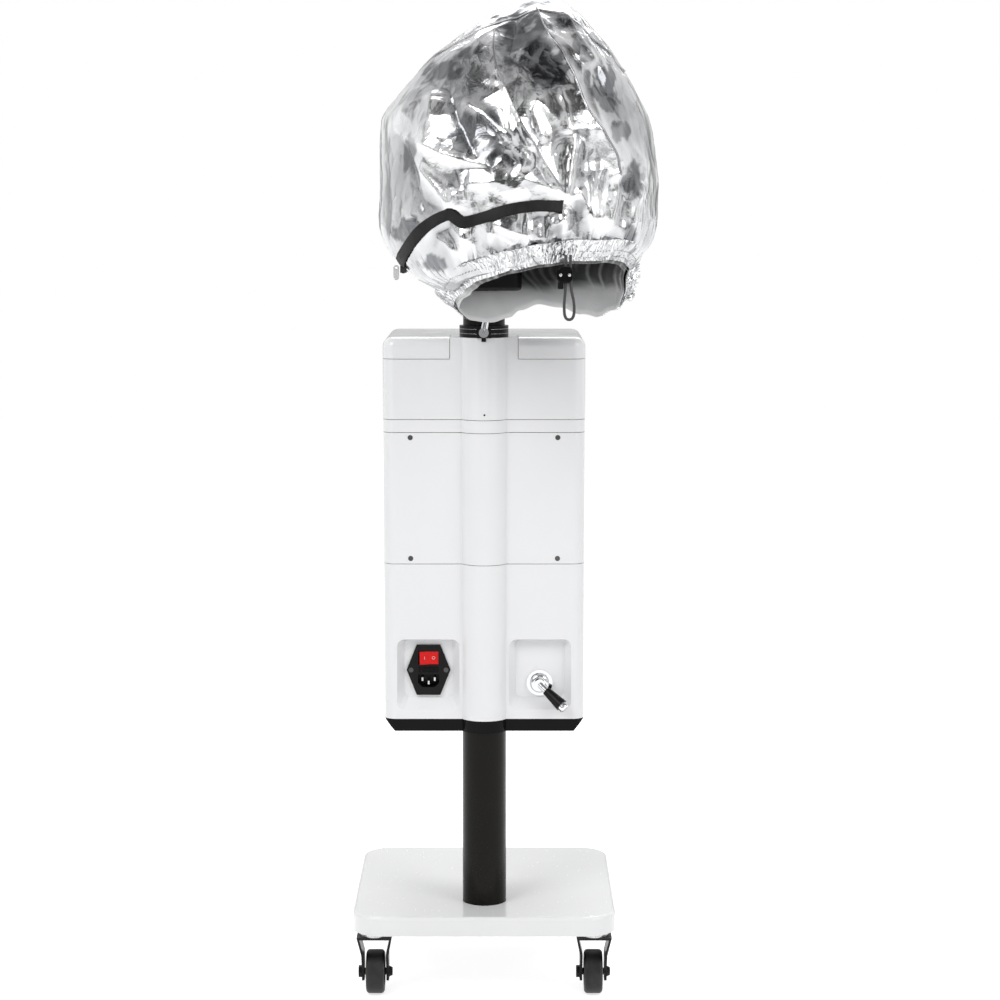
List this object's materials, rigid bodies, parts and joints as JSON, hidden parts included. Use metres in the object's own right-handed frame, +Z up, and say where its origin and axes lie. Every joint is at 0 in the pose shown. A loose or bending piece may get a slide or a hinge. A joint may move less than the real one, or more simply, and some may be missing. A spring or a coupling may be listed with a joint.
{
  "type": "salon hair steamer",
  "caption": "Free-standing salon hair steamer: steam generator housing on a castor base, telescopic pole and a soft foil bonnet.",
  "frame": {"origin": "on the floor under the centre of the base plate", "axes": "+Z up, -Y towards the rear (column, mains inlet and mouth of the bonnet), +X to the right seen from the rear"},
  "size_m": [0.3358, 0.4975, 1.123],
  "materials": {
    "white_abs": "glossy injection moulded white ABS",
    "base_white": "gloss white paint",
    "black_plastic": "satin black moulding",
    "black_gloss": "gloss black moulding",
    "column_black": "satin black powder coat",
    "steel": "zinc plated steel",
    "stainless": "stainless steel",
    "chrome": "polished chrome plate",
    "brass": "nickel plated brass",
    "copper_tube": "drawn tube",
    "tyre": "matt black tread",
    "hub_white": "moulded nylon",
    "silicone": "translucent silicone hose",
    "red_rocker": "gloss red translucent rocker",
    "clear_tank": "clear moulded tank",
    "window_smoke": "smoked window",
    "board_green": "circuit board laminate",
    "foil_fabric": "silver metallised woven fabric",
    "lining_white": "white lining cloth",
    "zip_black": "black zip tape and teeth",
    "clear_pull": "clear moulded pull",
    "cord_black": "braided black cord"
  },
  "bodies": {
    "root": {"base_cover": "base_white", "base_chassis": "steel", "base_fasteners": "steel", "castor_stems": "steel", "column_tube": "column_black", "steam_riser": "copper_tube", "top_collar": "black_plastic", "bottom_tray": "black_gloss", "rear_shell_lower": "white_abs", "service_cover": "white_abs", "front_shell": "white_abs", "middle_shelf": "white_abs", "upper_shell": "white_abs", "lid_hinge_pins": "steel", "inner_frame": "steel", "housing_screws": "column_black", "control_panel": "black_gloss", "display_window": "window_smoke", "circuit_boards": "board_green", "water_tank": "clear_tank", "boiler_vessel": "stainless", "boiler_cap": "stainless", "heating_element": "stainless", "water_hoses": "silicone", "inlet_housing": "black_plastic", "inlet_pins": "brass", "drain_valve": "chrome"},
    "pole": {"upper_pole": "column_black"},
    "hood": {"steam_head": "black_plastic", "steam_nozzle": "black_gloss", "hood_fabric": "foil_fabric", "hood_lining": "lining_white", "hem_band": "foil_fabric", "hood_frame": "steel", "hood_zip": "zip_black", "drawcord": "cord_black", "cord_lock": "black_plastic"},
    "clamp_lever": {"clamp_lever": "chrome"},
    "tank_lid": {"tank_lid": "white_abs"},
    "rocker_switch": {"rocker_switch": "red_rocker"},
    "fuse_drawer": {"fuse_drawer": "black_plastic"},
    "drain_lever": {"drain_lever": "chrome", "drain_grip": "black_plastic"},
    "button_power": {"button_power": "red_rocker"},
    "button_timer": {"button_timer": "white_abs"},
    "button_mode": {"button_mode": "white_abs"},
    "cord_lock_plunger": {"cord_lock_plunger": "black_plastic"},
    "zip_pull": {"zip_pull": "clear_pull"},
    "castor_rear_left_fork": {"castor_rear_left_fork": "column_black"},
    "castor_rear_left_wheel": {"castor_rear_left_hub": "hub_white", "castor_rear_left_tyre": "tyre"},
    "castor_front_left_fork": {"castor_front_left_fork": "column_black"},
    "castor_front_left_wheel": {"castor_front_left_hub": "hub_white", "castor_front_left_tyre": "tyre"},
    "castor_rear_right_fork": {"castor_rear_right_fork": "column_black"},
    "castor_rear_right_wheel": {"castor_rear_right_hub": "hub_white", "castor_rear_right_tyre": "tyre"},
    "castor_front_right_fork": {"castor_front_right_fork": "column_black"},
    "castor_front_right_wheel": {"castor_front_right_hub": "hub_white", "castor_front_right_tyre": "tyre"}
  },
  "joints": [
    {"name": "castor_rear_left_swivel", "type": "hinge", "parent": "root", "child": "castor_rear_left_fork", "pos_m": [-0.125, -0.12, 0.07], "axis": [0, 0, 1], "continuous": true},
    {"name": "castor_rear_left_spin", "type": "hinge", "parent": "castor_rear_left_fork", "child": "castor_rear_left_wheel", "pos_m": [-0.125, -0.105, 0.025], "axis": [1, 0, 0], "continuous": true},
    {"name": "castor_front_left_swivel", "type": "hinge", "parent": "root", "child": "castor_front_left_fork", "pos_m": [-0.125, 0.12, 0.07], "axis": [0, 0, 1], "continuous": true},
    {"name": "castor_front_left_spin", "type": "hinge", "parent": "castor_front_left_fork", "child": "castor_front_left_wheel", "pos_m": [-0.125, 0.135, 0.025], "axis": [1, 0, 0], "continuous": true},
    {"name": "castor_rear_right_swivel", "type": "hinge", "parent": "root", "child": "castor_rear_right_fork", "pos_m": [0.125, -0.12, 0.07], "axis": [0, 0, 1], "continuous": true},
    {"name": "castor_rear_right_spin", "type": "hinge", "parent": "castor_rear_right_fork", "child": "castor_rear_right_wheel", "pos_m": [0.125, -0.105, 0.025], "axis": [1, 0, 0], "continuous": true},
    {"name": "castor_front_right_swivel", "type": "hinge", "parent": "root", "child": "castor_front_right_fork", "pos_m": [0.125, 0.12, 0.07], "axis": [0, 0, 1], "continuous": true},
    {"name": "castor_front_right_spin", "type": "hinge", "parent": "castor_front_right_fork", "child": "castor_front_right_wheel", "pos_m": [0.125, 0.135, 0.025], "axis": [1, 0, 0], "continuous": true},
    {"name": "pole_height", "type": "slide", "parent": "root", "child": "pole", "axis": [0, 0, 1], "range_m": [0, 0.15]},
    {"name": "hood_swivel", "type": "hinge", "parent": "pole", "child": "hood", "pos_m": [0, -0.079, 0.8], "axis": [0, 0, 1], "range_deg": [-60, 60]},
    {"name": "clamp_turn", "type": "hinge", "parent": "root", "child": "clamp_lever", "pos_m": [0, -0.1137, 0.7595], "axis": [0, 1, 0], "range_deg": [-75, 70]},
    {"name": "lid_hinge", "type": "hinge", "parent": "root", "child": "tank_lid", "pos_m": [0, 0.1015, 0.7287], "axis": [-1, 0, 0], "range_deg": [0, 70]},
    {"name": "rocker_tilt", "type": "hinge", "parent": "root", "child": "rocker_switch", "pos_m": [-0.0636, -0.0792, 0.3868], "axis": [0, 0, 1], "range_deg": [-16, 0]},
    {"name": "fuse_drawer_slide", "type": "slide", "parent": "root", "child": "fuse_drawer", "axis": [0, -1, 0], "range_m": [0, 0.012]},
    {"name": "drain_turn", "type": "hinge", "parent": "root", "child": "drain_lever", "pos_m": [0.0632, -0.09, 0.358], "axis": [0, 1, 0], "range_deg": [0, 90]},
    {"name": "press_power", "type": "slide", "parent": "root", "child": "button_power", "axis": [0, -1, 0], "range_m": [0, 0.0015], "stiffness_N_per_m": 300, "springref_m": -0.001},
    {"name": "press_timer", "type": "slide", "parent": "root", "child": "button_timer", "axis": [0, -1, 0], "range_m": [0, 0.0015], "stiffness_N_per_m": 300, "springref_m": -0.001},
    {"name": "press_mode", "type": "slide", "parent": "root", "child": "button_mode", "axis": [0, -1, 0], "range_m": [0, 0.0015], "stiffness_N_per_m": 300, "springref_m": -0.001},
    {"name": "press_cord_lock", "type": "slide", "parent": "hood", "child": "cord_lock_plunger", "axis": [0, 0, 1], "range_m": [0, 0.004], "stiffness_N_per_m": 200, "springref_m": -0.003},
    {"name": "zip_pull_swing", "type": "hinge", "parent": "hood", "child": "zip_pull", "pos_m": [-0.0925, -0.212, 0.834], "axis": [0, 1, 0], "range_deg": [0, 80]}
  ]
}
